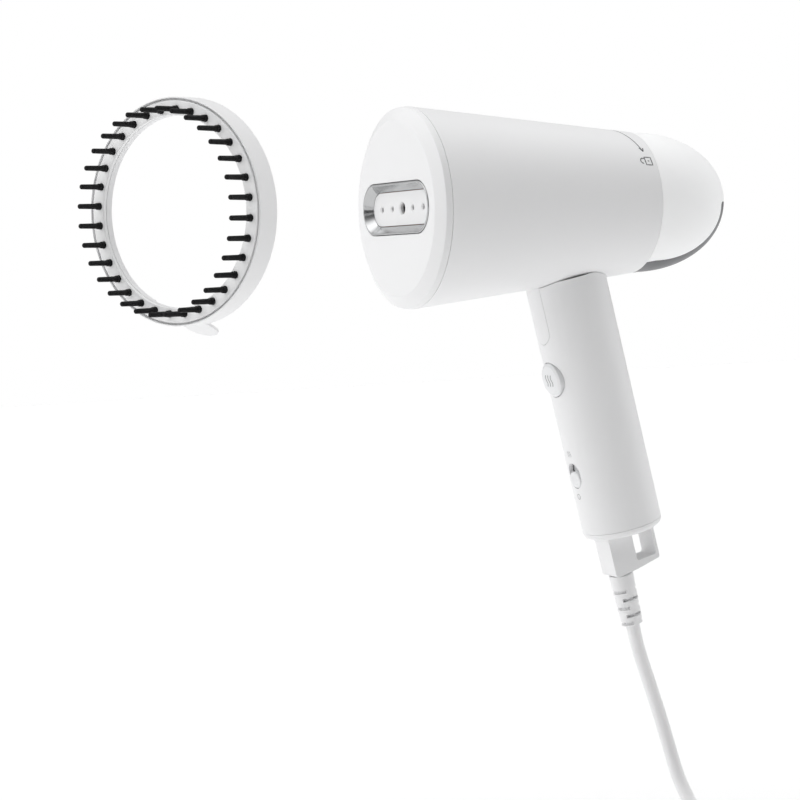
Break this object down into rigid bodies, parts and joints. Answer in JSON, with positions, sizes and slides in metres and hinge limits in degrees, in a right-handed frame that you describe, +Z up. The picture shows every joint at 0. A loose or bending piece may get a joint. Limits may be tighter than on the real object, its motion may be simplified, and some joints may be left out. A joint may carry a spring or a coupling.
{
  "type": "handheld garment steamer",
  "caption": "Handheld garment steamer with a tapered steam head, a twist-off water tank, a grip with a steam button and mode slider, a detachable bristle ring, and its mains cord.",
  "frame": {"origin": "centre of the hand grip, on the handle's axis", "axes": "+Z up, -Y the way the steam face looks, +Y along the head towards the tank, +X to the side"},
  "size_m": [0.1439, 0.3087, 0.3391],
  "materials": {
    "white_shell": "satin injection-moulded white plastic, fine texture",
    "white_button": "gloss white moulded plastic",
    "pale_plastic": "matte pale grey engineering plastic",
    "frosted_tank": "frosted translucent moulded plastic, smooth outside",
    "dark_trim": "satin dark grey plastic",
    "outlet_chrome": "bright plated plastic",
    "bristles": "black elastomer, satin",
    "boiler_metal": "as-cast aluminium",
    "plated_steel": "zinc-plated steel",
    "copper": "enamelled copper winding and wire",
    "pin_brass": "nickel-plated brass",
    "silicone": "soft silicone",
    "black_rubber": "matte black rubber",
    "circuit_board": "solder-masked board",
    "cord_sheath": "soft white PVC sheath, satin"
  },
  "bodies": {
    "housing": {"body_shell": "white_shell", "front_cover": "white_shell", "nozzle_frame": "outlet_chrome", "steam_plate": "white_shell", "nozzle_gasket": "silicone", "boiler_body": "boiler_metal", "boiler_cover": "boiler_metal", "heating_element": "plated_steel", "thermostat": "dark_trim", "thermal_fuse": "pin_brass", "boiler_bracket": "dark_trim", "boiler_screw_left": "plated_steel", "boiler_screw_right": "plated_steel", "pump_body": "pale_plastic", "pump_coil": "copper", "pump_yoke": "plated_steel", "pump_saddle": "black_rubber", "pressure_hose": "silicone", "suction_hose": "silicone", "tank_socket": "pale_plastic", "socket_seal": "silicone", "inlet_spigot": "pale_plastic", "handle_shell": "white_shell", "handle_end_cap": "white_shell", "handle_chassis": "pale_plastic", "cap_screw_left": "plated_steel", "cap_screw_right": "plated_steel", "control_board": "circuit_board", "triac": "black_rubber", "micro_switch": "dark_trim", "slide_switch": "dark_trim", "terminal_block": "white_button", "cord_clamp": "pale_plastic", "cord_anchor": "white_shell", "strain_relief": "cord_sheath", "heater_wire_left": "copper", "heater_wire_right": "copper", "cord_lead": "cord_sheath", "cord_coil": "cord_sheath", "cord_tail": "cord_sheath", "cord_tie": "black_rubber", "plug_body": "white_shell", "plug_pin_left": "pin_brass", "plug_pin_right": "pin_brass"},
    "brush": {"brush_ring": "white_shell", "brush_plate": "pale_plastic", "bristle_strip": "bristles"},
    "tank": {"tank_shell": "frosted_tank", "tank_trim": "dark_trim", "tank_cap": "pale_plastic", "filler_stopper": "silicone", "suction_tube": "frosted_tank"},
    "button": {"steam_button": "white_button", "switch_plunger": "black_rubber"},
    "slider": {"mode_slider": "white_button"}
  },
  "joints": [
    {"name": "brush_clip", "type": "hinge", "parent": "housing", "child": "brush", "pos_m": [0.24, -0.095, 0.0965], "axis": [0, 0, 1], "range_deg": [-27.15, 0]},
    {"name": "tank_twist", "type": "hinge", "parent": "housing", "child": "tank", "pos_m": [0, 0.019, 0.0965], "axis": [0, 1, 0], "range_deg": [0, 30]},
    {"name": "steam_press", "type": "slide", "parent": "housing", "child": "button", "axis": [0, 0.9751, 0.2215], "range_m": [0, 0.0025], "stiffness_N_per_m": 900},
    {"name": "slider_move", "type": "slide", "parent": "housing", "child": "slider", "axis": [0, -0.2215, 0.9751], "range_m": [0, 0.0038]}
  ]
}
